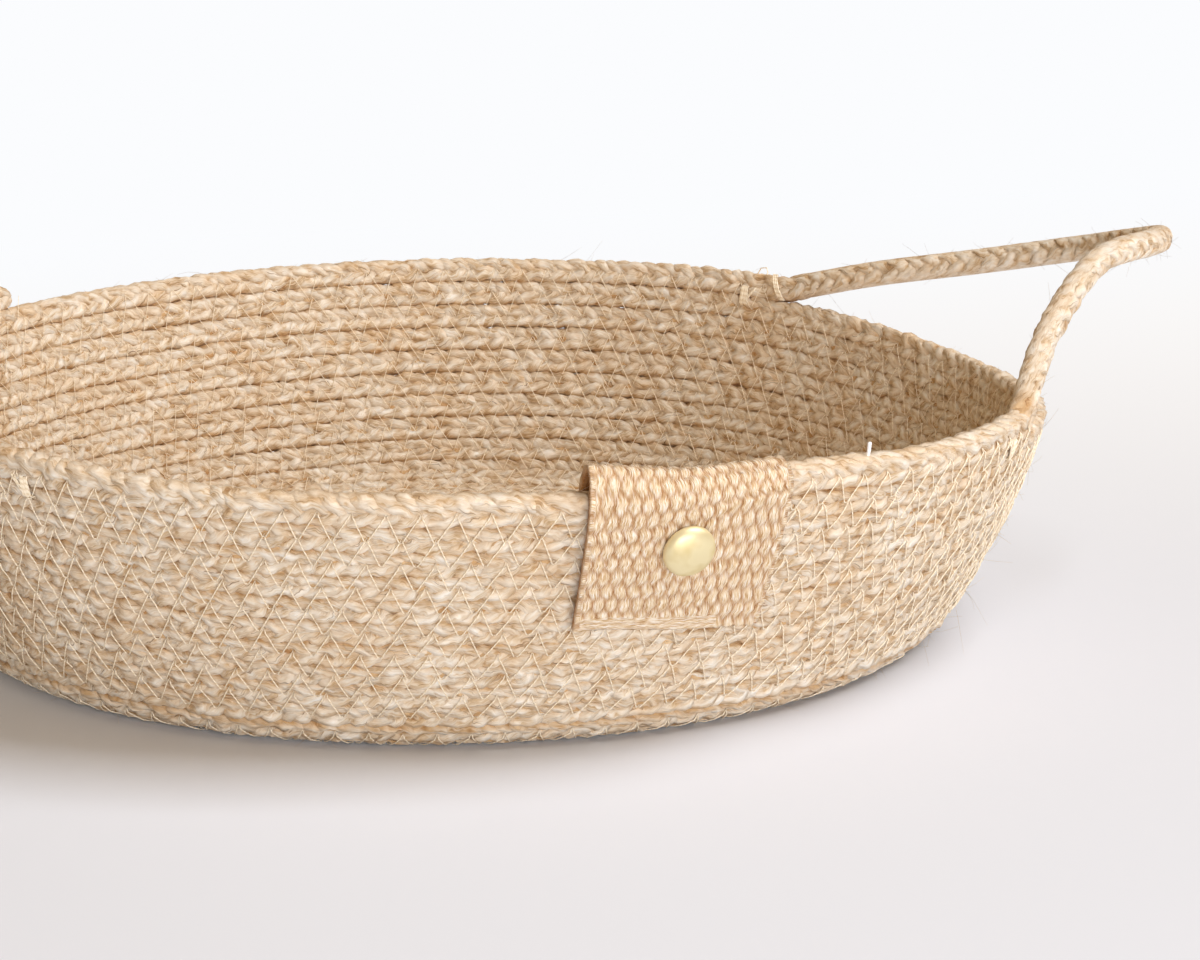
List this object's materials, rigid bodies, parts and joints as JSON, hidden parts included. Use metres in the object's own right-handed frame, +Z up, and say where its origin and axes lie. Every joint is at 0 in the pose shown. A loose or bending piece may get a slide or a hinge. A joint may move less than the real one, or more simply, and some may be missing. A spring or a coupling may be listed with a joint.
{
  "type": "storage basket",
  "caption": "Round shallow basket coiled from braided jute cord, with two bendable loop handles and a strip of jute webbing riveted over the rim.",
  "frame": {"origin": "the middle of the part's box in plan, at the height of the surface it stands on; the basket's own axis is 0.2 mm to +X and 1.6 mm to +Y of it", "axes": "+Z up, the handles on +X and -X, the webbing on the -Y side"},
  "size_m": [0.3264, 0.257, 0.0859],
  "materials": {
    "jute_cord": "matt braided jute",
    "jute_webbing": "coarse plain weave",
    "sewing_thread": "smooth cream thread",
    "pale_brass": "polished"
  },
  "bodies": {
    "basket": {"base_coil": "jute_cord", "wall_coil": "jute_cord", "rim_cord_back": "jute_cord", "rim_cord_front": "jute_cord", "cord_end": "jute_cord", "bar_tack_right_back": "sewing_thread", "bar_tack_right_front": "sewing_thread", "bar_tack_left_front": "sewing_thread", "bar_tack_left_back": "sewing_thread", "webbing_tab": "jute_webbing", "rivet_front_cap": "pale_brass", "rivet_back_cap": "pale_brass"},
    "right_handle": {"handle_right": "jute_cord"},
    "left_handle": {"handle_left": "jute_cord"}
  },
  "joints": [
    {"name": "right_handle_bend", "type": "hinge", "parent": "basket", "child": "right_handle", "pos_m": [0.09953, 0.00158, 0.05105], "axis": [0.0002, -0.9999, -0.0112], "range_deg": [-15, 75]},
    {"name": "left_handle_bend", "type": "hinge", "parent": "basket", "child": "left_handle", "pos_m": [-0.09974, 0.00888, 0.05625], "axis": [0.0676, 0.9977, 0.0064], "range_deg": [-15, 75]}
  ]
}
